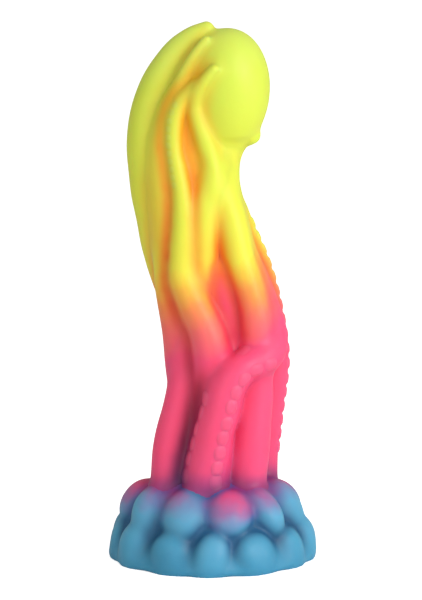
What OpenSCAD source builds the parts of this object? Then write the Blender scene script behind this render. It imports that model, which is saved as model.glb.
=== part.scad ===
// Octopus figure in soft silicone, standing on a ring of moulded stones.
// The casting is one piece of rubber. Its head, arms, suckers, stones and foot are separate
// solids here, and the column can lean over the foot, as the rubber does when it is pushed.
// Millimetres. +Z is up, +X is the way the face looks, and the origin is under the foot's middle.

/* [Foot] */
// Radius of the foot's rim, under the stones
foot_r = 39; // [38:0.5:40]
// Height of the foot's inner collar
foot_h = 21; // [19:1:22]
// Depth of the suction dish under the foot
dish_depth = 3.4; // [1:0.2:3.8]
// Radius of the suction dish at the table
dish_r = 34; // [30:1:36]

/* [Stones] */
// Stones in the lower row
lower_count = 13; // [12:1:14]
// Radius of the circle that the lower stones stand on
lower_ring_r = 33.2; // [32:0.2:34]
// Half width of a lower stone
lower_stone_r = 8.6; // [8:0.1:9]
// Height of a lower stone
lower_stone_h = 17.5; // [16:0.5:19]
// Stones in the upper row
upper_count = 11; // [10:1:12]
// Radius of the circle that the upper stones stand on
upper_ring_r = 30.4; // [29.5:0.1:31]
// Half width of an upper stone
upper_stone_r = 8.8; // [8:0.1:9.2]
// Height of the upper stones' tops over the table
upper_top = 28.5; // [27:0.5:30]
// How far the upper stones lean inwards, in degrees
upper_lean = 14; // [8:1:18]

/* [Bend] */
// Height of the axis that the column leans about
bend_z = 41; // [40.5:0.5:42]
// Radius of the round root that the column turns on
root_r = 31; // [30.5:0.5:32]
// Free space between the root and the foot
root_gap = 0.35; // [0.3:0.05:0.5]
// Height of the mound that the arms grow out of
mound_h = 34; // [32:0.5:36]

/* [Head] */
// Widest radius of the head
head_r = 16.5; // [16:0.1:17]
// Height of the head over its widest ring
head_up = 22.3; // [21.5:0.1:23]
// Depth of the head under its widest ring
head_down = 25.8; // [25:0.2:27]
// Height of the head's widest ring over the table
head_z = 187; // [186:0.5:188]
// How far the head sits forward of the foot's middle
head_x = 6; // [5:0.2:7]
// Radius of an eye
eye_r = 2.6; // [2.2:0.1:3]

/* [Suckers] */
// Radius of a large sucker's ball
sucker_r = 2.5; // [2.2:0.1:2.8]
// How far a large sucker stands out of its arm
sucker_out = 0.9; // [0.6:0.1:1.2]
// Distance from one large sucker to the next
sucker_pitch = 6.2; // [6:0.1:8]

/* [Hidden] */
arm_names = ["back_arm", "hood_arm", "side_arm", "cheek_arm",
             "inner_arm", "belly_arm", "front_arm", "crossing_arm"];
sucker_names = ["side_arm_suckers", "front_arm_suckers", "crossing_arm_suckers"];
lower_names = [for (i = [1:lower_count]) str("lower_stone_", i)];
upper_names = [for (i = [1:upper_count]) str("upper_stone_", i)];

arm_sides = 14;       // corners round an arm
spline_steps = 3;     // rings from one route point to the next
cap_angles = [25, 50, 72, 86];
yellow = "#e6e94f";
orange = "#f79a55";
pink = "#f4527e";
blue = "#5aaed2";

// Each arm's route, from its upper end to its foot: [x, y, z, radius].
back_route = [
    [-2.4, 1, 209, 2.8], [-7.6, 1, 205.4, 4.6], [-14.5, 1, 198.5, 6], [-20.2, 1, 188.5, 7],
    [-24.2, 1, 177, 7.6], [-25.6, 1, 164, 7.8], [-24.6, 2, 148, 7.8], [-22, 3, 132, 7.5],
    [-19, 6, 117, 7.2], [-15.5, 9, 105, 7], [-9, 14, 88, 6.8], [-2, 16.5, 70, 6.8],
    [4, 17.5, 52, 7], [7, 17, 40, 7.2], [8, 16, 31, 7.2]];
hood_route = [
    [-2.5, -7, 205.5, 1.4], [-6, -8, 201, 1.7], [-9.5, -8.6, 195, 2], [-12.8, -9, 188, 2.5],
    [-16.4, -8, 179, 3.8], [-19, -6.4, 166, 5.6], [-18.6, -5.6, 150, 6.6], [-17.2, -5.6, 136, 6.8],
    [-16.5, -5.6, 122, 6.8], [-15.8, -5.6, 108, 6.8], [-13.2, -5, 93, 6.8], [-11.8, -3, 79, 6.8],
    [-10.2, 1, 66, 6.7], [-11, 6, 52, 6.8], [-14, 10, 40, 6.8], [-16, 11.5, 31, 6.8]];
side_route = [
    [-6.6, -12.6, 188.5, 1.6], [-11.2, -12.4, 184, 2.1], [-14.2, -12.2, 177, 2.3],
    [-15, -12.2, 169, 2.5], [-14.6, -12.4, 162.5, 2.6], [-13.2, -12.8, 155, 2.9],
    [-11.8, -13.4, 146.5, 3.2], [-11.2, -14, 137.5, 3.7], [-11.4, -14.2, 128, 4.4],
    [-11.4, -14, 115, 5.2],
    [-9.6, -14.5, 108.5, 5.6], [-6.6, -15, 102, 6.1], [-2.8, -15.5, 94.5, 6.7],
    [-0.8, -15.5, 86.5, 7.1], [0.2, -14.5, 78, 7.1], [-0.4, -12.5, 68, 6.9],
    [-2, -11, 58, 6.7], [-3.5, -10.5, 46, 6.6], [-5, -11, 38, 6.6], [-6, -11.5, 31, 6.6]];
cheek_route = [
    [0.6, -15.4, 195.5, 1.2], [-3, -14.8, 191, 1.7], [-5.6, -13.8, 186, 2],
    [-6.6, -13, 180.8, 2.2], [-5.8, -12.6, 175.6, 2.5], [-3.6, -12, 169, 3.1],
    [-1, -11, 162, 4.2], [0.4, -10.6, 156, 5.1], [-0.2, -11.2, 149, 5.3], [-2.2, -12, 141, 5],
    [-3, -12.5, 132, 4.6], [-3.6, -12, 119, 4.2], [-6, -9, 103, 4.8], [-8, -7.5, 93, 5.3],
    [-9.5, -7, 83, 5.8], [-10.4, -7.5, 72, 6.4], [-12.6, -9, 61.5, 6.8], [-15.3, -10, 51.5, 7],
    [-16.8, -10.5, 42, 7], [-17.4, -10.5, 31, 6.8]];
inner_route = [
    [9, 13.5, 194, 1.4], [4, 15.5, 187, 2.4], [-2, 14.5, 179, 3.2], [-6, 13, 171, 3.8],
    [-7.5, 12.5, 161, 4.4], [-6.5, 12, 150, 4.8], [-3, 10, 139, 5], [0, 4, 130, 5],
    [2, -3, 123, 4.6], [3.2, -8, 116, 4.6], [4.4, -8.5, 105.5, 5.8], [6, -8.5, 95.5, 6],
    [6.8, -7.5, 85.5, 6], [6.5, -4, 76, 6], [5.5, 2, 66, 6.2], [2, 9, 54, 6.5],
    [-2.5, 14.5, 41, 6.8], [-5, 16, 31, 6.8]];
belly_route = [
    [3, -1, 161, 5], [3.8, -4, 153, 5.6], [5.2, -7, 146, 5.8], [7, -9.5, 138, 5.7],
    [9, -11, 129, 5.6], [10.6, -12, 120.5, 5.4], [13.6, -12.5, 112, 5.5], [16, -12.5, 104, 5.7],
    [17.2, -12.5, 96, 5.9], [17.4, -12, 87, 6.1], [17.3, -11.5, 76, 6.5], [17.2, -11.5, 66, 7],
    [16.2, -12, 56.5, 7.3], [15.2, -12.5, 44.5, 7.5], [14, -12.8, 31, 7.3]];
front_route = [
    [5.2, 1, 162, 5], [4.8, 1.5, 154, 5.5], [5.2, 2.5, 147, 5.5], [8.8, 3, 136, 5.5],
    [13.4, 4, 125, 5.5], [18, 4.5, 112, 5.7], [21, 4.5, 101, 5.9], [23, 4, 90, 6],
    [24, 3.5, 79, 6], [23.3, 3.5, 68, 6.1], [21.7, 3.5, 56, 6.1], [20.4, 3.8, 44, 6],
    [19.4, 4, 31, 6]];
crossing_route = [
    [3.6, -1, 159, 4.6], [4.5, -1, 150, 5], [6.6, -3, 141, 5], [9.4, -4.5, 131, 5],
    [13, -5, 119.5, 5.2], [18, -5.5, 108.5, 5.4], [21.4, -6, 99, 5.6], [23.6, -7, 91, 5.8],
    [23.6, -10.5, 85, 6], [20, -15, 81.5, 6], [13.2, -19, 79.5, 6.1], [8.4, -20.5, 75, 6.6],
    [5.4, -21, 69, 7.1], [3.4, -21, 62, 7.4], [1.4, -20.5, 55.5, 7.6], [0.2, -20, 49.5, 7.8],
    [-1, -19.5, 43.5, 8], [-2, -18.8, 37.5, 8.1], [-2.4, -18.2, 31, 8]];
arm_routes = [back_route, hood_route, side_route, cheek_route,
              inner_route, belly_route, front_route, crossing_route];
arm_colours = [yellow, yellow, yellow, yellow, orange, pink, pink, pink];

// The rubber between the arms, from inside the head down into the mound.
core_route = [
    [-4, 0, 190, 9], [-7, 0.4, 180, 11.4], [-8.6, 0.8, 166, 12.4], [-8, 1.2, 150, 12.8],
    [-6.5, 1.6, 134, 12.8], [-3, 1.4, 118, 12.8], [1, 1, 102, 13], [4, 2, 86, 14], [4, 2, 68, 15], [3, 2, 50, 16], [1, 1, 38, 16],
    [1, 0, 31, 15]];

// Rows of suckers: [route, way they face, first and last distance along the arm, size].
sucker_rows = [
    [[side_route, [-0.85, -0.6, 0], 10, 44, 0.5]],
    [[front_route, [1, -0.1, 0.1], 33, 124, 0.9],
     [front_route, [0.3, 1, 0.1], 33, 124, 0.9]],
    [[crossing_route, [-0.7, -0.1, 0.7], 86, 144, 1],
     [crossing_route, [0.5, -1, -0.3], 86, 144, 1]]];

// A small, repeatable unevenness for stone number i, from -1 to 1.
function uneven(i, k) = sin(i * 137.5 + k * 71);

// Catmull-Rom point between p[1] and p[2], with every coordinate and the radius together.
function spline(a, b, c, d, t) =
    0.5 * (2 * b + (c - a) * t + (2 * a - 5 * b + 4 * c - d) * t * t
           + (3 * b - a - 3 * c + d) * t * t * t);
function smooth_route(p) = concat(
    [for (i = [0:len(p) - 2], k = [0:spline_steps - 1])
        spline(p[max(i - 1, 0)], p[i], p[i + 1], p[min(i + 2, len(p) - 1)], k / spline_steps)],
    [p[len(p) - 1]]);

function unit(v) = v / norm(v);
function place(p) = [p[0], p[1], p[2]];
function way(p, i) = unit(place(p[min(i + 1, len(p) - 1)]) - place(p[max(i - 1, 0)]));

// Corners of the ring round point c, square to t.
function ring(c, t, r, sides) =
    let (u = unit(cross([0, 1, 0], t)), v = cross(t, u))
    [for (k = [0:sides - 1]) c + r * (cos(360 * k / sides) * u + sin(360 * k / sides) * v)];

// Rings of a round end beyond p[i], in the direction s times the tangent.
function cap(p, i, s) =
    [for (a = s < 0 ? [for (k = [len(cap_angles) - 1:-1:0]) cap_angles[k]] : cap_angles)
        ring(place(p[i]) + s * way(p, i) * p[i][3] * sin(a), way(p, i), p[i][3] * cos(a), arm_sides)];

module tube(route) {
    p = smooth_route(route);
    rings = concat(cap(p, 0, -1),
                   [for (i = [0:len(p) - 1]) ring(place(p[i]), way(p, i), p[i][3], arm_sides)],
                   cap(p, len(p) - 1, 1));
    n = arm_sides;
    m = len(rings);
    polyhedron(
        points = [for (r = rings) each r],
        faces = concat(
            [[for (k = [0:n - 1]) k]],
            [for (j = [0:m - 2], k = [0:n - 1]) each [
                [j * n + k, (j + 1) * n + (k + 1) % n, j * n + (k + 1) % n],
                [j * n + k, (j + 1) * n + k, (j + 1) * n + (k + 1) % n]]],
            [[for (k = [0:n - 1]) m * n - 1 - k]]));
}

// Length along a smoothed route up to each of its points.
function lengths(p) = [for (i = 0, s = 0; i < len(p);
                            s = s + (i < len(p) - 1 ? norm(place(p[i + 1]) - place(p[i])) : 0),
                            i = i + 1) s];
function at_length(p, along, s) =
    [for (k = [0:3]) lookup(s, [for (i = [0:len(p) - 1]) [along[i], p[i][k]]])];

// One row of suckers. Each is a ball sunk in the arm, so that only its low dome shows.
module sucker_row(row) {
    p = smooth_route(row[0]);
    along = lengths(p);
    size = row[4];
    for (s = [row[2]:sucker_pitch * size:row[3]]) {
        here = at_length(p, along, s);
        t = unit(place(at_length(p, along, s + 1)) - place(here));
        out = unit(row[1] - (row[1] * t) * t);
        translate(place(here) + out * (here[3] + (sucker_out - sucker_r) * size))
            sphere(r = sucker_r * size, $fn = 32);
    }
}

// The ball-shaped space that the column turns in.
module root_space(gap) {
    translate([0, 0, bend_z]) sphere(r = root_r + gap, $fn = 96);
}

// The hollow of the suction dish.
module dish_space() {
    dish_ball = (dish_r * dish_r + dish_depth * dish_depth) / (2 * dish_depth);
    translate([0, 0, dish_depth - dish_ball]) sphere(r = dish_ball, $fn = 128);
}

// Round foot with a suction dish below and a cup for the root above.
module foot() {
    color(blue) difference() {
        rotate_extrude($fn = 96) polygon([
            [0, 0], [foot_r, 0], [foot_r + 0.5, 3], [foot_r - 2, 9],
            [foot_r - 7, foot_h - 4], [foot_r - 11, foot_h], [0, foot_h]]);
        root_space(root_gap);
        dish_space();
    }
}

// An egg-shaped pebble on a flat bottom, turned about its upright axis.
module pebble(r, h) {
    cut = 30;
    half = h / (1 + sin(cut));
    rotate_extrude($fn = 48) polygon(concat(
        [[0, 0]],
        [for (a = [-cut:10:80]) [r * cos(a), half * (sin(cut) + sin(a))]],
        [[0, h]]));
}

module lower_stone(i) {
    turn = 360 * (i - 1) / lower_count - 90 + 2 * uneven(i, 1);
    color(blue) difference() {
        rotate([0, 0, turn]) translate([lower_ring_r, 0, 0])
            pebble(lower_stone_r + 0.3 * uneven(i, 2), lower_stone_h + 1.2 * uneven(i, 3));
        dish_space();
    }
}

module upper_stone(i) {
    turn = 360 * (i - 0.65) / upper_count - 90 + 2.5 * uneven(i, 4);
    bottom = 7;
    color(blue) difference() {
        rotate([0, 0, turn]) translate([upper_ring_r, 0, bottom]) rotate([0, -upper_lean, 0])
            pebble(upper_stone_r + 0.4 * uneven(i, 5), upper_top - bottom + uneven(i, 6));
        root_space(root_gap);
    }
}

// The mound at the arms' feet, with the round root under it that turns in the foot's cup.
module root_mound() {
    edge = [for (a = [-86:4:-26]) [root_r * cos(a), bend_z + root_r * sin(a)]];
    color(pink) rotate_extrude($fn = 96) polygon(concat(
        [[0, bend_z - root_r]], edge,
        [[root_r - 5.5, mound_h - 4], [root_r - 9, mound_h - 1.4], [root_r - 13, mound_h],
         [0, mound_h]]));
}

// The solid rubber in the middle of the column.
module core() {
    color(orange) tube(core_route);
}

// Egg-shaped head, turned about its own upright axis.
module head() {
    color(yellow) translate([head_x, 0, head_z]) rotate_extrude($fn = 96) polygon(concat(
        [[0, -head_down]],
        [for (a = [-80:8:80]) [head_r * cos(a), (a < 0 ? head_down : head_up) * sin(a)]],
        [[0, head_up]]));
}

// An eye low on the head, facing the angle turn about the head's axis.
module eye(turn) {
    color(yellow) translate([head_x, 0, head_z - 20.6]) rotate([0, 0, turn])
        translate([9, 0, 0]) sphere(r = eye_r, $fn = 48);
}

foot();
for (i = [1:lower_count]) lower_stone(i);
for (i = [1:upper_count]) upper_stone(i);
root_mound();
core();
head();
eye(-4);  // near_eye
eye(76);  // far_eye
for (i = [0:len(arm_names) - 1])
    color(arm_colours[i]) tube(arm_routes[i]);
for (i = [0:len(sucker_names) - 1])
    color(arm_colours[i == 0 ? 2 : 5 + i]) for (row = sucker_rows[i]) sucker_row(row);
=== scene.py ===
# %% [markdown]
# # An octopus cast in soft silicone
# The real thing is one casting of coloured rubber: a head, eight arms, rows of suckers and a ring
# of moulded stones, all run into each other. Two ways lead to that look. One is to fuse everything
# into a single skin. The other keeps each member as its own piece and lets the surfaces flow
# together where they meet. This lesson takes the second way, because a piece with a name can be
# given its own colour, moved or mended.

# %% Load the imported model
import math

import bmesh
import bpy
import numpy as np
from mathutils import Matrix, Vector, noise
from mathutils.bvhtree import BVHTree


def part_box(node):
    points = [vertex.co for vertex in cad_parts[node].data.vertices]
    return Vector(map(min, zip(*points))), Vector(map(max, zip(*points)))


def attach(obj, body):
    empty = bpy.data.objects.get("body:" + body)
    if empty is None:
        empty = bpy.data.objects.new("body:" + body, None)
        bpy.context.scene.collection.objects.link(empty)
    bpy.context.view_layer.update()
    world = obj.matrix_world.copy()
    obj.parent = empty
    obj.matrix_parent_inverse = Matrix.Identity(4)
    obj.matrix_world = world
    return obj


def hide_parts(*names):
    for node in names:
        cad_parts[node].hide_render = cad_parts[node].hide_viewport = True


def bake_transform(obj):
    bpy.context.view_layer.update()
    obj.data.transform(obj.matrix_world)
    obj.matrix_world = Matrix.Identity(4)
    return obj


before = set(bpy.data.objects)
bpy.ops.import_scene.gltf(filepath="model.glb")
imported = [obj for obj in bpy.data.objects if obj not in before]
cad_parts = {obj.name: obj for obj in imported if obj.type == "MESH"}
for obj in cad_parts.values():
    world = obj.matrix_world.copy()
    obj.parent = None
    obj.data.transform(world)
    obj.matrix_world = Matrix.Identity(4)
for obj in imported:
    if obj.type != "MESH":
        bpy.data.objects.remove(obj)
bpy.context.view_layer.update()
MM = 0.001
nodes = list(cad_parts)

# %% [markdown]
# ## Small helpers
# Every piece ends as a mesh object at the origin, with its place in its mesh, like the frame's own
# nodes. `finished` makes that object from a bmesh. `subdivided` rounds it off with a Subdivision
# Surface modifier, and bakes the result in, because later steps move single vertices.

# %% Turn a bmesh into a piece
pieces = {}


def finished(name, bm):
    mesh = bpy.data.meshes.new(name)
    bm.to_mesh(mesh)
    bm.free()
    mesh.polygons.foreach_set("use_smooth", [True] * len(mesh.polygons))
    piece = bpy.data.objects.new(name, mesh)
    bpy.context.collection.objects.link(piece)
    pieces[name] = piece
    return piece


def subdivided(piece, levels):
    modifier = piece.modifiers.new("Rounding", "SUBSURF")
    modifier.levels = modifier.render_levels = levels
    graph = bpy.context.evaluated_depsgraph_get()
    mesh = bpy.data.meshes.new_from_object(piece.evaluated_get(graph))
    piece.modifiers.clear()
    piece.data = mesh
    return piece


def uneven(number, kind):
    """A repeatable value from -1 to 1, so that no two neighbours are alike."""
    return math.sin(math.radians(number * 137.5 + kind * 71))


print("helpers ready")

# %% [markdown]
# ## The arms and the core
# An arm is a tapering tube along a winding route. The frame already holds that tube as a coarse
# mesh with rings of flat faces. A copy of it is merged and its triangles are paired into quads,
# which leaves clean rings, and two levels of subdivision make them round. The core is wider and
# gets three.

# %% Copy the frame's tubes and round them
same_place = 0.001 * MM
flat_enough, square_enough = 0.7, 0.9


def tube_from(node, levels):
    bm = bmesh.new()
    bm.from_mesh(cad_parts[node].data)
    bmesh.ops.remove_doubles(bm, verts=bm.verts, dist=same_place)
    bmesh.ops.join_triangles(bm, faces=bm.faces, angle_face_threshold=flat_enough,
                             angle_shape_threshold=square_enough)
    return subdivided(finished("soft_" + node, bm), levels)


arm_names = [node for node in nodes if node.endswith("_arm")]
for node in arm_names + ["core"]:
    tube = tube_from(node, 3 if node == "core" else 2)
    print(tube.name, len(tube.data.vertices), "vertices")

# %% [markdown]
# ## The head
# The head is an egg with its narrow end down. A UV sphere is scaled to the head's box, with its
# widest ring a little over the middle of its height.

# %% Shape the head
head_low, head_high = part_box("head")
head_middle = (head_low + head_high) / 2
belly_share = 0.536
widest_z = head_low.z + belly_share * (head_high.z - head_low.z)
bm = bmesh.new()
bmesh.ops.create_uvsphere(bm, u_segments=192, v_segments=128, radius=1)
for vert in bm.verts:
    up = (head_high.z - widest_z) if vert.co.z > 0 else (widest_z - head_low.z)
    vert.co.x = head_middle.x + vert.co.x * (head_high.x - head_low.x) / 2
    vert.co.y = head_middle.y + vert.co.y * (head_high.y - head_low.y) / 2
    vert.co.z = widest_z + vert.co.z * up
head = finished("soft_head", bm)
print("head", len(head.data.vertices), "vertices, widest at", round(widest_z / MM, 1), "mm")

# %% [markdown]
# ## The eyes
# Each eye is a soft bulge low on the head. It is one outline spun about the line that the eye
# looks along, which is drawn from the head's upright axis through the eye's middle.

# %% Spin an outline into an eye
def spun(outline, steps):
    """A bmesh of an outline of (radius, height) pairs, spun about the upright axis."""
    bm = bmesh.new()
    verts = [bm.verts.new((radius, 0, height)) for radius, height in outline]
    edges = [bm.edges.new(pair) for pair in zip(verts, verts[1:])]
    bmesh.ops.spin(bm, geom=verts + edges, axis=(0, 0, 1), cent=(0, 0, 0),
                   angle=math.tau, steps=steps, use_merge=True)
    bmesh.ops.remove_doubles(bm, verts=bm.verts, dist=0.0001 * MM)
    bmesh.ops.recalc_face_normals(bm, faces=bm.faces)
    return bm


eye_outline = [(0, 0.8), (0.35, 0.75), (0.66, 0.58), (0.9, 0.28), (1, -0.1), (0.95, -0.5),
               (0.6, -0.85), (0, -0.95)]
eye_fullness, eye_stands_out = 1.02, 1.5 * MM
for node in ("near_eye", "far_eye"):
    low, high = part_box(node)
    middle, size = (low + high) / 2, eye_fullness * (high.x - low.x) / 2
    look = Vector((middle.x - head_middle.x, middle.y - head_middle.y, 0)).normalized()
    bm = spun([(r * size, h * size) for r, h in eye_outline], 24)
    turn = look.to_track_quat("Z", "Y").to_matrix().to_4x4()
    place = Matrix.Translation(middle + look * eye_stands_out) @ turn
    bmesh.ops.transform(bm, matrix=place, verts=bm.verts)
    subdivided(finished("soft_" + node, bm), 2)
    print(node, "looks along", [round(c, 2) for c in look])

# %% [markdown]
# ## The mound and the foot
# The mound is a low dome that the arms grow out of, and the foot is a thick disc with a shallow
# suction dish below. Both are outlines spun about the upright axis. The foot's rim tucks under a
# little, as a poured edge does, and its shoulder rises under the stones and fills their valleys.

# %% Spin the mound and the foot
foot_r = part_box("foot")[1].x / MM
mound_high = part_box("root_mound")[1]
mound_r, top = mound_high.x / MM, mound_high.z / MM
mound_outline = [(0, top), (10, top - 0.6), (18, top - 2.2), (23, top - 3.8), (27, top - 6.4),
                 (30, top - 10), (32, top - 14), (32, top - 18), (mound_r, top - 22),
                 (mound_r - 8, top - 24), (0, top - 24)]


def turned_piece(name, outline_mm, steps):
    form = spun([(radius * MM, height * MM) for radius, height in outline_mm], steps)
    return subdivided(finished(name, form), 2)


mound = turned_piece("soft_root_mound", mound_outline, 48)
dish_r, dish_depth = foot_r - 5.5, 3.4
dish_steps = 8
dish = [(dish_r * k / dish_steps, dish_depth * (1 - (k / dish_steps) ** 2))
        for k in range(dish_steps + 1)]
foot_outline = dish + [(foot_r - 1.2, 0), (foot_r + 0.2, 0.5), (foot_r + 0.6, 2), (foot_r - 1, 5),
                       (foot_r - 3, 9), (foot_r - 5.4, 13), (foot_r - 8, 17), (foot_r - 10.6, 21),
                       (foot_r - 12.6, 24), (foot_r - 14.8, 24), (foot_r - 18, 19), (0, 19)]
foot = turned_piece("soft_foot", foot_outline, 64)
print("mound", len(mound.data.vertices), "foot", len(foot.data.vertices), "vertices")

# %% [markdown]
# ## The stones
# A moulded stone is a rounded block, a little fuller than a ball. An icosphere has even faces all
# over. Each of its vertices is pushed out towards a box, which squares the form a little, and then
# a matrix scales it, leans it towards the middle and stands it at its own place on the ring. What
# falls below the table is cut off flat.

# %% Make one rounded block
ball_levels, sideways_tilt = 5, math.radians(15)
ripple_share, ripples_per_metre = 0.02, 75


def block(bm, fullness):
    """Pushes a unit ball's vertices out towards a box. A fullness of 2 leaves it round."""
    for vert in bm.verts:
        vert.co *= sum(abs(c) ** fullness for c in vert.co) ** (-1 / fullness)


def stone(node, number, half_mm, middle_mm, lean, fullness):
    """half_mm and middle_mm are (outwards, sideways or 0, up), and lean tips the top inwards."""
    low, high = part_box(node)
    turn = math.atan2(low.y + high.y, low.x + high.x)
    bm = bmesh.new()
    bmesh.ops.create_icosphere(bm, subdivisions=ball_levels, radius=1)
    block(bm, fullness)
    place = (Matrix.Rotation(turn, 4, "Z") @ Matrix.Translation(Vector(middle_mm) * MM)
             @ Matrix.Rotation(-lean, 4, "Y")
             @ Matrix.Rotation(sideways_tilt * uneven(number, 7), 4, "X")
             @ Matrix.Diagonal(Vector(half_mm) * MM).to_4x4())
    bmesh.ops.transform(bm, matrix=place, verts=bm.verts)
    for vert in bm.verts:
        spot = vert.co * ripples_per_metre + Vector((number, 0, 0))
        vert.co *= 1 + ripple_share * noise.noise(spot)
    bmesh.ops.bisect_plane(bm, geom=bm.verts[:] + bm.edges[:] + bm.faces[:], plane_co=(0, 0, 0),
                           plane_no=(0, 0, 1), clear_inner=True)
    bmesh.ops.holes_fill(bm, edges=[edge for edge in bm.edges if edge.is_boundary], sides=0)
    bmesh.ops.recalc_face_normals(bm, faces=bm.faces)
    return finished("soft_" + node, bm)


print("a stone starts as a ball of", 20 * 4 ** (ball_levels - 1), "faces")

# %% [markdown]
# Stones in one row differ a little in size, place and lean. `uneven` gives each number its own
# small changes, so a rerun makes the same ring. The upper stones behind the column sit lower.

# %% Set out the two rings of stones
lower_names = [node for node in nodes if node.startswith("lower_stone")]
for node in lower_names:
    number = int(node.split("_")[-1])
    height = (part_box(node)[1].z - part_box(node)[0].z) / MM
    half_mm = (8.8, 8.6 + 0.9 * uneven(number, 2), 0.6 * height + 0.9 * uneven(number, 5))
    middle_mm = (32.3 + 0.4 * uneven(number, 3), 0, 0.35 * height)
    stone(node, number, half_mm, middle_mm, lean=math.radians(4), fullness=2.2)
upper_names = [node for node in nodes if node.startswith("upper_stone")]
rear_drop, full_drop_at = 3.4, 12 * MM
for node in upper_names:
    number = int(node.split("_")[-1])
    behind = (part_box(node)[0].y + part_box(node)[1].y) / 2
    drop = rear_drop * min(max(behind / full_drop_at, 0), 1)
    half_mm = (8.4, 8.3 + uneven(number, 5), 10.6 + 0.8 * uneven(number, 6))
    middle_mm = (27.4 + 0.5 * uneven(number, 8), 0, 20.6 + 0.7 * uneven(number, 9) - drop)
    stone(node, number, half_mm, middle_mm, lean=math.radians(34), fullness=2.1)
print(len(lower_names), "lower and", len(upper_names), "upper stones")

# %% [markdown]
# ## Kneading
# A sculptor's arm is never a perfect tube. A slow noise moves each vertex in or out by a few tenths
# of a millimetre, so that highlights wander along the arms.

# %% Push the surfaces in and out a little
def read_mesh(piece):
    """The mesh's vertex places and normals, as two arrays."""
    count = len(piece.data.vertices)
    places, normals = np.empty(count * 3, np.float32), np.empty(count * 3, np.float32)
    piece.data.vertices.foreach_get("co", places)
    piece.data.vertex_normals.foreach_get("vector", normals)
    return places.reshape(-1, 3).astype(float), normals.reshape(-1, 3).astype(float)


def write_mesh(piece, places):
    piece.data.vertices.foreach_set("co", places.astype(np.float32).ravel())
    piece.data.update()


def knead(piece, amount, size):
    """Moves the surface by a noise whose lumps are about as large as size."""
    places, normals = read_mesh(piece)
    push = np.array([noise.noise(Vector(place / size)) for place in places])
    write_mesh(piece, places + normals * (push * amount)[:, None])


for node in arm_names + ["core"]:
    knead(pieces["soft_" + node], amount=0.35 * MM, size=13 * MM)
knead(head, amount=0.3 * MM, size=20 * MM)
print("kneaded", len(arm_names) + 2, "pieces")

# %% [markdown]
# ## Where the suckers sit
# Suckers run in rows along three of the arms. The frame's sucker nodes give each one's middle and
# size, because the loose parts of such a node are its suckers. The arm swells gently under each
# sucker, so that is done first, while the arm is still on its own.

# %% Find the suckers
def loose_parts(node):
    """The middle and half-width of each loose part of a frame node."""
    bm = bmesh.new()
    bm.from_mesh(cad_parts[node].data)
    bmesh.ops.remove_doubles(bm, verts=bm.verts, dist=same_place)
    waiting, parts = set(bm.verts), []
    while waiting:
        ring, part = [waiting.pop()], []
        while ring:
            vert = ring.pop()
            part.append(np.array(vert.co))
            for edge in vert.link_edges:
                other = edge.other_vert(vert)
                if other in waiting:
                    waiting.remove(other)
                    ring.append(other)
        low, high = np.min(part, axis=0), np.max(part, axis=0)
        parts.append((Vector((low + high) / 2), float((high - low).max()) / 2))
    bm.free()
    return sorted(parts, key=lambda part: tuple(part[0].zyx))


def tree_of(piece):
    return BVHTree.FromObject(piece, bpy.context.evaluated_depsgraph_get())


sucker_nodes = [node for node in nodes if node.endswith("_suckers")]
suckers = {node: loose_parts(node) for node in sucker_nodes}
print({node: len(parts) for node, parts in suckers.items()})

# %% [markdown]
# The swelling is a round hump, highest under the sucker's middle. Its width and height are shares
# of the sucker's half-width. The side arm's suckers are small and faint, and the crossing arm's
# are broad.

# %% Swell the arms under their suckers
swell_width, swell_height = 1.45, 0.2
pad_size = {"side_arm_suckers": 1, "front_arm_suckers": 1.05, "crossing_arm_suckers": 1.18}
pad_relief = {"side_arm_suckers": 0.35, "front_arm_suckers": 0.95, "crossing_arm_suckers": 0.7}
bpy.context.view_layer.update()
for node in sucker_nodes:
    arm = pieces["soft_" + node.replace("_suckers", "")]
    tree = tree_of(arm)
    places, normals = read_mesh(arm)
    push = np.zeros(len(places))
    for middle, half in suckers[node]:
        away = np.linalg.norm(places - np.array(tree.find_nearest(middle)[0]), axis=1)
        share = np.clip(away / (half * swell_width), 0, 1)
        height = half * swell_height * pad_relief[node]
        push = np.maximum(push, height * (1 + np.cos(math.pi * share)) / 2)
    write_mesh(arm, places + normals * push[:, None])
    print(arm.name, "swells by up to", round(float(push.max()) / MM, 2), "mm")

# %% [markdown]
# ## Letting the pieces flow together
# Where two members of a casting meet, there is a soft fillet and no sharp line. A voxel remesh
# would give that, but it would leave one skin. Here the distance from a vertex to each neighbour
# is measured with a BVH tree. The smooth union of those distances says how far out the fused
# surface lies, and the vertex moves there along its normal. The distances change as it moves, so
# they are measured again a few times. A vertex that is already inside a neighbour sinks instead,
# so that one of the two pieces hides the other. Two skins that cross at a flat angle would still
# show a toothed line, so both are shaded with the fused surface's own normal there. How deep a spot
# lies between two members is handed back as well. It sets how much painted shade the colour gets.

# %% Get each piece ready to be measured
def face_corners(mesh):
    """Four corners of each face, with a triangle's last corner given twice."""
    starts, totals = np.empty(len(mesh.polygons), np.int32), np.empty(len(mesh.polygons), np.int32)
    mesh.polygons.foreach_get("loop_start", starts)
    mesh.polygons.foreach_get("loop_total", totals)
    corners = np.empty(len(mesh.loops), np.int32)
    mesh.loops.foreach_get("vertex_index", corners)
    return corners[starts[:, None] + np.minimum(np.arange(4), totals[:, None] - 1)]


members = {}
for name, piece in pieces.items():
    places, normals = read_mesh(piece)
    members[name] = {"tree": tree_of(piece), "low": places.min(axis=0), "high": places.max(axis=0),
                     "places": places, "normals": normals, "corners": face_corners(piece.data)}
print(len(members), "pieces can be measured")

# %% [markdown]
# The tree gives the nearest spot on a neighbour and the face that it lies in. A face is flat, so
# its own normal jumps from one face to the next. The normals of its corners, weighted by how near
# each corner is, turn smoothly instead. A spot whose normal points away from the vertex means that
# the vertex is inside.

# %% Measure the neighbours of each vertex
reach, far_off, corner_softness = 9 * MM, 1.0, 0.02 * MM


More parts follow.
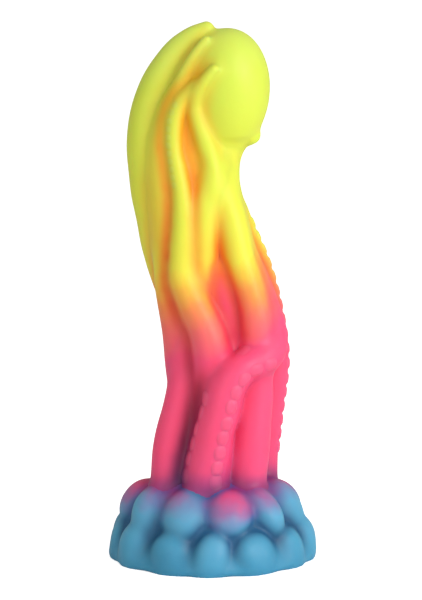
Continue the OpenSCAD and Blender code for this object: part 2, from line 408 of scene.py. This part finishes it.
def measured(places, normals, others):
    """Signed distance to each neighbour, its outward direction there, and how far that agrees."""
    shape = (len(places), len(others))
    distance, facing = np.full(shape, far_off), np.zeros(shape)
    outward = np.zeros(shape + (3,), np.float32)
    for column, other in enumerate(others):
        near = np.all((places > other["low"] - reach) & (places < other["high"] + reach), axis=1)
        hits = [(row, *other["tree"].find_nearest(Vector(places[row]), reach))
                for row in np.flatnonzero(near)]
        hits = [hit for hit in hits if hit[1] is not None]
        if not hits:
            continue
        rows = np.array([hit[0] for hit in hits])
        spots = np.array([hit[1] for hit in hits])
        corners = other["corners"][np.array([hit[3] for hit in hits])]
        away = np.linalg.norm(other["places"][corners] - spots[:, None], axis=2)
        share = 1 / (away ** 2 + corner_softness ** 2)
        turned = (other["normals"][corners] * share[..., None]).sum(axis=1)
        turned /= np.linalg.norm(turned, axis=1)[:, None]
        off = places[rows] - spots
        side = np.where((off * turned).sum(axis=1) < 0, -1, 1)
        distance[rows, column] = side * np.linalg.norm(off, axis=1)
        facing[rows, column] = (turned * normals[rows]).sum(axis=1)
        outward[rows, column] = turned
    return distance, facing, outward


print("vertices look", round(reach / MM), "mm round themselves")

# %% [markdown]
# The fillets aren't the same size everywhere. They are tight between the stones, wide along the
# column, and widest at the neck. One curve over the height gives the size, so that two pieces
# always agree on it where they meet. A wide fillet fattens everything near it, so a second curve
# trims the neck back by as much. The neck's own values hold only on the face side.

# %% Set the fillets' sizes
fillet_heights = np.array([0, 24, 40, 138, 165, 182, 212]) * MM
fillet_sizes = np.array([1.1, 1.1, 1.8, 1.9, 1.5, 1.5, 1.4]) * MM
neck_fillet, neck_trim = 4.2 * MM, 2.4 * MM


def smooth_step(low, high, value):
    share = np.clip((value - low) / (high - low), 0, 1)
    return share * share * (3 - 2 * share)


def fillet_at(places):
    """The fillet's size and the trim at each place."""
    height = places[:, 2]
    up = smooth_step(138 * MM, 150 * MM, height) * smooth_step(169 * MM, 160 * MM, height)
    neck = up * smooth_step(-7 * MM, 0, places[:, 0])
    plain = np.interp(height, fillet_heights, fillet_sizes)
    return plain + neck * (neck_fillet - plain), neck * neck_trim


neck_middle = np.array([[0, 0, 155 * MM]])
print("fillet in mid-neck", round(float(fillet_at(neck_middle)[0][0]) / MM, 1), "mm")

# %% [markdown]
# The deeper a spot lies between two members, the more painted shade it takes from the groove
# colours. Some places get more or less of it than their depth gives. The groove between the back
# arm and the hood arm gets little, the hollows beside the side arm get an orange painted shade, the
# hood arm's middle is painted a little deeper, the core is painted dark low down, and so is the gap
# to the left of the crossing arm. The lower grooves on the right, where the light falls, get less.

# %% Say where the painted shade is stronger or weaker
def shade_adjusted(name, names, distance, places, hollow):
    """Changes how much painted shade some places get, beyond what their depth gives."""
    across, up = places[:, 0], places[:, 2]

    def beside(other, width):
        return smooth_step(width, 0, distance[:, names.index(other)])

    # The groove between the back arm and the hood arm gets less painted shade.
    if name in ("soft_back_arm", "soft_hood_arm", "soft_core"):
        other = "soft_hood_arm" if name == "soft_back_arm" else "soft_back_arm"
        hollow = hollow * (1 - 0.75 * beside(other, 8 * MM) * smooth_step(148 * MM, 162 * MM, up))
    # Beside the side arm, the hood arm and the core get a full orange painted shade.
    if name in ("soft_hood_arm", "soft_core"):
        hollow = np.maximum(hollow, beside("soft_side_arm", 7.5 * MM))
    # The middle of the hood arm gets a little painted shade, because it lies recessed.
    if name == "soft_hood_arm":
        recessed_shade = smooth_step(112 * MM, 128 * MM, up) * smooth_step(192 * MM, 178 * MM, up)
        hollow = np.maximum(hollow, 0.24 * recessed_shade)
    # The core is painted dark low down, where it lies deep between the arms.
    if name == "soft_core":
        hollow = np.maximum(hollow, 0.75 * smooth_step(95 * MM, 55 * MM, up))
    # The arms left of the crossing arm get painted shade in the gap beside it.
    if name in ("soft_cheek_arm", "soft_side_arm", "soft_inner_arm"):
        gap = beside("soft_crossing_arm", 9 * MM) * smooth_step(0, -7 * MM, across)
        hollow = np.maximum(hollow, np.minimum(1.5 * gap * smooth_step(88 * MM, 74 * MM, up), 0.7))
    # Where the light from the right falls on the lower grooves, they get less painted shade.
    lit = smooth_step(0, 8 * MM, across) * smooth_step(95 * MM, 80 * MM, up)
    return hollow * (1 - 0.6 * lit * smooth_step(30 * MM, 38 * MM, up))


print("hollows can be changed")

# %% [markdown]
# Now the vertices move. `out` is how far each one has gone along its normal. In every round the
# neighbours are measured from where the vertices stand, and a few Newton steps look for the place
# where the smooth union's distance is nought. `shown` runs from 1, in the open, to 0, well inside
# a neighbour, where the vertex sinks out of sight. A neighbour that faces much the same way closes
# nothing off, so it adds nothing to the hollow's painted shade.

# %% Move the vertices to the fused surface
hollow_width, facing_limit, hidden_depth = 6.5 * MM, 0.5, 0.4 * MM
measuring_rounds, newton_steps, least_slope = 3, 6, 0.35


def melt(piece):
    """Moves the piece's vertices onto the smooth union of all the members, and shades them so."""
    names = [name for name in members if name != piece.name]
    others = [members[name] for name in names]
    places, normals = read_mesh(piece)
    soft, trim = fillet_at(places)
    rise = soft * math.log(2)
    distance, facing, outward = measured(places, normals, others)
    nearest = distance.min(axis=1)
    # How closed in a vertex is, by neighbours that face it, sets the painted shade its colour gets.
    closed = np.exp(-np.clip(distance, 0, 1) / hollow_width) * np.clip(facing_limit - facing, 0, 1)
    hollow = 1 - np.prod(1 - np.clip(closed / (1 + facing_limit), 0, 1), axis=1)
    hollow = shade_adjusted(piece.name, names, distance, places, hollow)
    rows = np.flatnonzero((nearest < reach) & (nearest > -1.5 * rise))
    out = -trim
    for step in range(measuring_rounds):
        if step:
            at = places[rows] + normals[rows] * out[rows, None]
            distance[rows], facing[rows], outward[rows] = measured(at, normals[rows], others)
        here, size, inset = distance[rows], soft[rows], trim[rows]
        start = out[rows] if step else np.zeros(len(rows))
        edge = np.exp(-reach / size)[:, None]
        move = start.copy()
        for _ in range(newton_steps):
            gap = here + (move - start)[:, None] * facing[rows]
            near = np.maximum(np.exp(-np.clip(gap / size[:, None], -30, 300)) - edge, 0)
            own = np.exp(-move / size)
            total = own + near.sum(axis=1)
            slope = np.maximum((own + (near * facing[rows]).sum(axis=1)) / total, least_slope)
            move = np.clip(move + (size * np.log(total) - inset) / slope, -inset, 1.5 * rise[rows])
        out[rows] = move
    shown = smooth_step(-1.3 * rise, 0.05 * rise, nearest)
    places += normals * (shown * out - (1 - shown) * (trim + hidden_depth))[:, None]
    places[:, 2] = np.maximum(places[:, 2], 0)
    write_mesh(piece, places)
    # Near a join, the shading follows the fused surface and not this piece's own mesh.
    joined = own[:, None] * normals[rows] + (near[..., None] * outward[rows]).sum(axis=1)
    joined /= np.maximum(np.linalg.norm(joined, axis=1), 1e-6)[:, None]
    _, skin = read_mesh(piece)
    at_join = smooth_step(2.5 * size, 0.9 * size, gap.min(axis=1))[:, None]
    skin[rows] += (joined - skin[rows]) * at_join
    skin /= np.maximum(np.linalg.norm(skin, axis=1), 1e-6)[:, None]
    piece.data.normals_split_custom_set_from_vertices(skin.tolist())
    return hollow, shown


marks = {name: melt(piece) for name, piece in pieces.items()}
print("melted", len(pieces), "pieces")

# %% [markdown]
# ## Colour that runs on over the joins
# The colour depends on two things that differ from piece to piece: how deep a spot lies, which
# sets its painted shade, and how far up its own pour lines reach. Left alone, each join would show
# as a line. So both values are spread over a grid of one-millimetre cells, blurred there, and read
# back at every vertex. That makes them a property of the place, and not of the piece. Each vertex
# also keeps its own place at rest. The patterns read that, so they stay on the rubber when it
# bends.

# %% Spread the marks over a grid
column_shifts = {"back_arm": 5, "hood_arm": 6, "side_arm": 3, "cheek_arm": 1, "inner_arm": -22,
                 "belly_arm": -1, "front_arm": -4, "crossing_arm": -14, "core": -8}
shifts = {}
for name in pieces:
    node = name.replace("soft_", "")
    number = int(node.split("_")[-1]) if "stone" in node else 0
    shifts[name] = column_shifts.get(node, 4.8 * uneven(number, 4) if number else 0)
grid_low, cells = np.array([-50, -50, -5]) * MM, np.array([100, 100, 225])
blur_rounds = 4


def cell_of(places):
    return (places - grid_low) / MM


def spread(values_of):
    """A blurred grid of a value over the visible vertices."""
    total, count = np.zeros(cells.prod()), np.zeros(cells.prod())
    for name, (hollow, shown) in marks.items():
        places, _ = read_mesh(pieces[name])
        index = np.ravel_multi_index(np.round(cell_of(places)).astype(int).T, cells)
        weight = shown ** 2 + 1e-6
        total += np.bincount(index, weight * values_of(name, hollow), minlength=len(total))
        count += np.bincount(index, weight, minlength=len(count))
    grids = []
    for grid in (total.reshape(cells), count.reshape(cells)):
        for _ in range(blur_rounds):
            for axis in range(3):
                grid = (np.roll(grid, 1, axis) + 2 * grid + np.roll(grid, -1, axis)) / 4
        grids.append(grid)
    return grids[0] / np.maximum(grids[1], 1e-12)


def read_grid(grid, places):
    """The grid's value at each place, blended between the eight cells round it."""
    spot = cell_of(places)
    base = np.floor(spot).astype(int)
    part = spot - base
    value = np.zeros(len(places))
    for corner in np.ndindex(2, 2, 2):
        weight = np.prod(np.where(corner, part, 1 - part), axis=1)
        value += weight * grid[tuple((base + corner).T)]
    return value


hollow_grid = spread(lambda name, hollow: hollow)
shift_grid = spread(lambda name, hollow: np.full(len(hollow), float(shifts[name])))
print("grids of", cells.prod(), "cells")

# %% [markdown]
# An attribute is a value that a mesh keeps for each vertex, and a material can read it by name.

# %% Keep the marks on the meshes
def keep(piece, name, values):
    layer = piece.data.attributes.new(name, "FLOAT", "POINT")
    layer.data.foreach_set("value", np.asarray(values, np.float32))


def mark(piece):
    places, _ = read_mesh(piece)
    layer = piece.data.attributes.new("rest_place", "FLOAT_VECTOR", "POINT")
    layer.data.foreach_set("vector", places.astype(np.float32).ravel())
    keep(piece, "hollow", read_grid(hollow_grid, places))
    keep(piece, "pour_shift", read_grid(shift_grid, places))


for piece in pieces.values():
    mark(piece)
print("marked", len(pieces), "pieces")

# %% [markdown]
# ## The suckers
# A sucker is a low pad with a faint dimple, nearer to a rounded square than to a circle. One pad
# is spun and squared, and then each of its vertices is set on the finished arm where it is
# nearest, and raised by its own height. So every pad follows its arm, and its rim runs out flat.
# A pad that lies in a join is nearly flat.

# %% Lay the pads on the arms
pad_outline = [(0, 0.1), (0.35, 0.13), (0.6, 0.135), (0.82, 0.085), (1.02, 0.01), (1.16, -0.07),
               (0.9, -0.22), (0, -0.24)]
squareness = 2.7


def laid_pad(middle, half, tree, relief):
    spot, outward, _, _ = tree.find_nearest(middle)
    open_share = 1 - min(1.6 * read_grid(hollow_grid, np.array([spot]))[0], 0.9)
    turn = outward.to_track_quat("Z", "Y").to_matrix()
    bm = spun(pad_outline, 24)
    for vert in bm.verts:
        across = Vector((vert.co.x, vert.co.y, 0))
        if across.length > 0:
            way = across.normalized()
            across *= (abs(way.x) ** squareness + abs(way.y) ** squareness) ** (-1 / squareness)
        nearest, normal, _, _ = tree.find_nearest(spot + turn @ (across * half))
        lift = vert.co.z * relief * open_share if vert.co.z > 0 else vert.co.z
        vert.co = nearest + normal * (lift * half)
    return bm


for node in sucker_nodes:
    arm = pieces["soft_" + node.replace("_suckers", "")]
    tree = tree_of(arm)
    bm = bmesh.new()
    for middle, half in suckers[node]:
        pad = laid_pad(middle, half * pad_size[node], tree, pad_relief[node])
        mesh = bpy.data.meshes.new("pad")
        pad.to_mesh(mesh)
        pad.free()
        bm.from_mesh(mesh)
        bpy.data.meshes.remove(mesh)
    group = subdivided(finished("soft_" + node, bm), 1)
    mark(group)
    print(group.name, len(group.data.vertices), "vertices")

# %% [markdown]
# ## The poured colour
# The casting is poured in layers: blue, a little purple, pink, and yellow. The colours mix where
# they meet, so a plain ramp over the height would look printed. Two noises move the height, so
# that the borders wander. First come the small functions that add one node each.

# %% Write the node helpers
def linear(hex_code):
    """A colour socket's value for a hex colour."""
    parts = [int(hex_code[k:k + 2], 16) / 255 for k in (0, 2, 4)]
    return [c / 12.92 if c <= 0.04045 else ((c + 0.055) / 1.055) ** 2.4 for c in parts] + [1]


def node_in(tree, kind, label, **values):
    node = tree.nodes.new(kind)
    node.label = node.name = label
    for key, value in values.items():
        setattr(node, key, value)
    return node


def feed(tree, socket, value):
    """Gives a socket a number, a colour from its hex code, or a link from another socket."""
    if isinstance(value, bpy.types.NodeSocket):
        tree.links.new(value, socket)
    else:
        socket.default_value = linear(value) if isinstance(value, str) else value


def attribute_in(tree, name, output="Fac"):
    label = name.replace("_", " ")
    return node_in(tree, "ShaderNodeAttribute", label, attribute_name=name).outputs[output]


def maths(tree, label, operation, *values, clamp=False):
    """A Math node between sockets or numbers, giving its output socket."""
    node = node_in(tree, "ShaderNodeMath", label, operation=operation, use_clamp=clamp)
    for socket, value in zip(node.inputs, values):
        feed(tree, socket, value)
    return node.outputs[0]


def ranged(tree, label, value, source, target, interpolation="SMOOTHSTEP"):
    """A Map Range node from one pair of numbers to another."""
    node = node_in(tree, "ShaderNodeMapRange", label, interpolation_type=interpolation)
    for key, number in zip(("From Min", "From Max", "To Min", "To Max"), source + target):
        node.inputs[key].default_value = number
    tree.links.new(value, node.inputs["Value"])
    return node.outputs["Result"]


def noise_of(tree, label, vector, scale, detail=2.0):
    node = node_in(tree, "ShaderNodeTexNoise", label)
    node.inputs["Scale"].default_value = scale
    node.inputs["Detail"].default_value = detail
    tree.links.new(vector, node.inputs["Vector"])
    return node.outputs["Fac"]


def ramp_of(tree, label, stops, value):
    node = node_in(tree, "ShaderNodeValToRGB", label)
    ramp = node.color_ramp
    ramp.interpolation = "LINEAR"
    while len(ramp.elements) < len(stops):
        ramp.elements.new(1)
    for element, (place, colour) in zip(ramp.elements, stops):
        element.position = place
        element.color = linear(colour)
    tree.links.new(value, node.inputs["Fac"])
    return node.outputs["Color"]


def mixed(tree, label, share, first, second, blend="MIX"):
    """A colour between two sockets or hex colours."""
    node = node_in(tree, "ShaderNodeMix", label, data_type="RGBA", blend_type=blend)
    sockets = (node.inputs["Factor"], node.inputs[6], node.inputs[7])
    for socket, value in zip(sockets, (share, first, second)):
        feed(tree, socket, value)
    return node.outputs[2]


print("one hex colour, made linear:", [round(c, 3) for c in linear("FF5280")])

# %% [markdown]
# The column has two ramps over the same height, one for open places and one for grooves, where a
# painted shade turns the colour deeper orange, red and purple. The group mixes them by how deep the
# spot lies, and high up on the face side the grooves count for less. It puts out the colour and
# that share of painted shade.
# Each material keeps its own Principled shader.

# %% Build the pour group
column_pour = [(0, "4FA0C4"), (20, "5AA8CC"), (26, "9060A8"), (30, "C8488C"), (36, "F25084"),
               (46, "FE5080"), (84, "FF5280"), (97, "FF746C"), (105, "FF9850"), (113, "FAC844"),
               (121, "EEE648"), (140, "E4EA48"), (190, "D4E64E"), (212, "D8EC62")]
full_height = 220
pour = bpy.data.node_groups.new("poured layers", "ShaderNodeTree")
pour.interface.new_socket("Colour", in_out="OUTPUT", socket_type="NodeSocketColor")
pour.interface.new_socket("Deep", in_out="OUTPUT", socket_type="NodeSocketFloat")
group_out = node_in(pour, "NodeGroupOutput", "colour out")
spot = attribute_in(pour, "rest_place", "Vector")
split = node_in(pour, "ShaderNodeSeparateXYZ", "height")
pour.links.new(spot, split.inputs[0])
# How deep a spot lies sets how much painted shade it gets, less so high up on the face side.
hollow = attribute_in(pour, "hollow")
sunk = maths(pour, "sunk", "MULTIPLY", maths(pour, "steeper", "POWER", hollow, 1.3), 1.5)
face_side = ranged(pour, "less on the face side", split.outputs["X"], (-0.006, 0.006), (1, 0.12))
high_up = ranged(pour, "only high up", split.outputs["Z"], (0.125, 0.15), (0, 1))
face_share = node_in(pour, "ShaderNodeMix", "face share")
for key, value in (("Factor", high_up), ("A", 1), ("B", face_side)):
    feed(pour, face_share.inputs[key], value)
deep = maths(pour, "deep", "MULTIPLY", sunk, face_share.outputs[0], clamp=True)
slow_mm, fine_mm = 26, 5
slow = maths(pour, "slow wander", "MULTIPLY_ADD", noise_of(pour, "slow", spot, 38), slow_mm,
             -slow_mm / 2)
fine = maths(pour, "fine wander", "MULTIPLY_ADD", noise_of(pour, "fine", spot, 210), fine_mm,
             -fine_mm / 2)
height = maths(pour, "height in mm", "MULTIPLY", split.outputs["Z"], 1 / MM)
border = maths(pour, "border wander", "ADD", slow, fine)
above_foot = ranged(pour, "wander above the foot", height, (30, 85), (0.08, 0.8), "LINEAR")
wander = maths(pour, "wander", "MULTIPLY", border, above_foot)
pour_shift = attribute_in(pour, "pour_shift")
shift = maths(pour, "shift above the foot", "MULTIPLY", pour_shift, above_foot)
moved = maths(pour, "moved height", "ADD", maths(pour, "with wander", "ADD", height, wander), shift)
share = maths(pour, "share of height", "DIVIDE", moved, full_height, clamp=True)
layers = ramp_of(pour, "layers", [(z / full_height, c) for z, c in column_pour], share)
# The groove ramp is a painted shade: each layer's colour darker and warmer, as deep in shadow.
shaded_grooves = ramp_of(pour, "layers in the grooves",
                  [(0, "1E4C70"), (24 / full_height, "3C306C"), (38 / full_height, "521850"),
                   (56 / full_height, "7A103E"), (80 / full_height, "BC142E"),
                   (104 / full_height, "E4320E"), (135 / full_height, "FC5A06"),
                   (160 / full_height, "FA860C"), (180 / full_height, "F0A614"),
                   (198 / full_height, "E8B41C"), (1, "D8C828")],
                  share)
colour = mixed(pour, "layers with grooves", deep, layers, shaded_grooves)
pour.links.new(colour, group_out.inputs["Colour"])
pour.links.new(deep, group_out.inputs["Deep"])
print("pour group has", len(pour.nodes), "nodes")

# %% [markdown]
# ## The finish
# Cured silicone has a satin skin with a faint grain from the mould, and light goes a little way
# in. So the material has a middle roughness with a slow variation, a fine bump, and some
# subsurface scattering over about two millimetres.

# %% Make the column's materials
sheen_span, least_roughness = 0.18, 0.4


def grain_group():
    group = bpy.data.node_groups.new("mould grain", "ShaderNodeTree")
    group.interface.new_socket("Roughness", in_out="OUTPUT", socket_type="NodeSocketFloat")
    group.interface.new_socket("Normal", in_out="OUTPUT", socket_type="NodeSocketVector")
    out = node_in(group, "NodeGroupOutput", "finish out")
    place = attribute_in(group, "rest_place", "Vector")
    sheen = noise_of(group, "sheen", place, 160, 3)
    rough = maths(group, "roughness", "MULTIPLY_ADD", sheen, sheen_span, least_roughness)
    bump = node_in(group, "ShaderNodeBump", "grain bump")
    bump.inputs["Strength"].default_value = 0.25
    bump.inputs["Distance"].default_value = 0.15 * MM
    group.links.new(noise_of(group, "grain", place, 1400, 4), bump.inputs["Height"])
    group.links.new(rough, out.inputs["Roughness"])
    group.links.new(bump.outputs["Normal"], out.inputs["Normal"])
    return group


grain = grain_group()


def silicone(name, paler=0):
    """A poured silicone material, with its own Principled shader and the two shared groups."""
    material = bpy.data.materials.new(name)
    material.use_nodes = True
    tree = material.node_tree
    shader = tree.nodes["Principled BSDF"]
    shader.inputs["Subsurface Weight"].default_value = 0.4
    shader.inputs["Subsurface Radius"].default_value = (1, 0.45, 0.3)
    shader.inputs["Subsurface Scale"].default_value = 2.2 * MM
    shader.inputs["IOR"].default_value = 1.41
    colour = node_in(tree, "ShaderNodeGroup", "poured layers", node_tree=pour)
    finish = node_in(tree, "ShaderNodeGroup", "mould grain", node_tree=grain)
    tone = colour.outputs["Colour"]
    if paler:
        tone = mixed(tree, "paler", paler, tone, "FFE0E0", "SCREEN")
    tree.links.new(tone, shader.inputs["Base Color"])
    tree.links.new(finish.outputs["Roughness"], shader.inputs["Roughness"])
    tree.links.new(finish.outputs["Normal"], shader.inputs["Normal"])
    return material


for node in arm_names + ["core", "root_mound"]:
    pieces["soft_" + node].data.materials.append(silicone(node.replace("_", " ") + " silicone"))
for node in sucker_nodes:
    label = node.replace("_", " ") + " silicone"
    pieces["soft_" + node].data.materials.append(silicone(label, 0.03))
head_silicone = silicone("head silicone")
for name in ("soft_head", "soft_near_eye", "soft_far_eye"):
    pieces[name].data.materials.append(head_silicone)
print(len(bpy.data.materials), "materials so far")

# %% [markdown]
# ## The stones' colour
# Pour lines don't stop at a stone, but each stone has its own mix: more lilac on some, more sky
# blue on others, and pink where the upper ones meet the column. So the base has a second ramp,
# which starts from the same height and adds patches. Each stone's own amount is in `pour_shift`.

# %% Make the base's materials
patch_mm, patch_start, base_height = 15, -7.3, 44


def base_silicone(name):
    material = silicone(name)
    tree = material.node_tree
    shader = tree.nodes["Principled BSDF"]
    place = attribute_in(tree, "rest_place", "Vector")
    split = node_in(tree, "ShaderNodeSeparateXYZ", "height")
    tree.links.new(place, split.inputs[0])
    patches = noise_of(tree, "patches", place, 75, 3)
    patch = maths(tree, "patch", "MULTIPLY_ADD", patches, patch_mm, patch_start)
    height = maths(tree, "mm", "MULTIPLY", split.outputs["Z"], 1 / MM)
    level = maths(tree, "level", "ADD", height, patch)
    level = maths(tree, "own level", "ADD", level, attribute_in(tree, "pour_shift"))
    share = maths(tree, "share", "DIVIDE", level, base_height, clamp=True)
    blend = ramp_of(tree, "base layers",
                    [(0, "3F93B8"), (0.28, "50A4C8"), (0.48, "5EAACE"), (0.58, "7894C0"),
                     (0.68, "A070A8"), (0.78, "D05890"), (0.9, "F04C7C")], share)
    # The valleys between the stones get a painted shade: a darker ramp, mixed in by depth.
    valley_shade = ramp_of(tree, "valley layers",
                     [(0, "174A6C"), (0.3, "1F5880"), (0.48, "24608C"), (0.58, "4A5294"),
                      (0.7, "8A3880"), (0.82, "B82C72"), (0.96, "A81C50")], share)
    deep = tree.nodes["poured layers"].outputs["Deep"]
    deep = maths(tree, "deeper valleys", "MULTIPLY", deep, 1.6, clamp=True)
    tone = mixed(tree, "base with valleys", deep, blend, valley_shade)
    tree.links.new(tone, shader.inputs["Base Color"])
    return material


for names, label in ((lower_names, "lower"), (upper_names, "upper")):
    stone_silicone = base_silicone(label + " stone silicone")
    for node in names:
        pieces["soft_" + node].data.materials.append(stone_silicone)
foot.data.materials.append(base_silicone("foot silicone"))
mound.data.materials[0] = base_silicone("mound silicone")
print(len(bpy.data.materials), "materials")

# %% [markdown]
# ## What moves with what
# The column bends over the foot. The foot and its stones ride the base, and the head and the eyes
# ride the column. The arms join the two. They ride neither body, and like the core, the mound and
# the suckers, their places are baked into their meshes.

# %% Tie the pieces to the bodies
for node in nodes:
    piece = pieces["soft_" + node]
    if "stone" in node or node == "foot":
        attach(piece, "base")
    elif node == "head" or node.endswith("_eye"):
        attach(piece, "column")
    else:
        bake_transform(piece)
    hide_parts(node)
print(len(nodes), "nodes replaced")

# %% [markdown]
# ## Floor, light and camera
# A plain white sweep, one large soft light from the front right and a weaker one from the left
# show a soft thing best: the form turns slowly from light to shade, and the shadows stay pale. A
# low light from the right brightens the lower arms.

# %% Set the stage
def area_light(name, energy, size, place, target):
    data = bpy.data.lights.new(name, "AREA")
    data.energy = energy
    data.size = size
    light = bpy.data.objects.new(name, data)
    light.location = place
    light.rotation_euler = (Vector(target) - Vector(place)).to_track_quat("-Z", "Y").to_euler()
    bpy.context.collection.objects.link(light)


area_light("key light", 9, 0.6, (0.8, -0.8, 0.6), (0, 0, 0.1))
area_light("fill light", 3, 0.9, (-0.6, -1.1, 0.45), (0, 0, 0.1))
area_light("side light", 2.2, 0.5, (1.1, -0.45, 0.15), (0, 0, 0.06))
world = bpy.data.worlds.new("studio")
bpy.context.scene.world = world
world.use_nodes = True
background = world.node_tree.nodes["Background"]
background.inputs["Color"].default_value = (1, 0.96, 0.9, 1)
background.inputs["Strength"].default_value = 0.46
bpy.ops.mesh.primitive_plane_add(size=8)
floor = bpy.context.object
floor.name = "floor"
white = bpy.data.materials.new("white floor")
white.use_nodes = True
floor_shader = white.node_tree.nodes["Principled BSDF"]
floor_shader.inputs["Base Color"].default_value = (0.8, 0.8, 0.8, 1)
floor_shader.inputs["Roughness"].default_value = 0.9
floor_shader.inputs["Emission Strength"].default_value = 1
only_seen = node_in(white.node_tree, "ShaderNodeMix", "glow that lights nothing", data_type="RGBA")
only_seen.inputs[6].default_value = (0, 0, 0, 1)
only_seen.inputs[7].default_value = (0.75, 0.75, 0.75, 1)
seen = node_in(white.node_tree, "ShaderNodeLightPath", "seen by the camera")
white.node_tree.links.new(seen.outputs["Is Camera Ray"], only_seen.inputs["Factor"])
white.node_tree.links.new(only_seen.outputs[2], floor_shader.inputs["Emission Color"])
floor.data.materials.append(white)
print("stage set")

# %% Place the camera
distance, pitch = 2.5, math.radians(11)
aim = Vector((-0.0004, 0, 0.102))
camera_data = bpy.data.cameras.new("camera")
camera_data.lens = 384
camera_data.sensor_width = 36
camera = bpy.data.objects.new("camera", camera_data)
camera.location = aim + Vector((0, -math.cos(pitch), math.sin(pitch))) * distance
camera.rotation_euler = (math.pi / 2 - pitch, 0, 0)
bpy.context.collection.objects.link(camera)
bpy.context.scene.camera = camera
bpy.context.scene.view_settings.view_transform = "Standard"
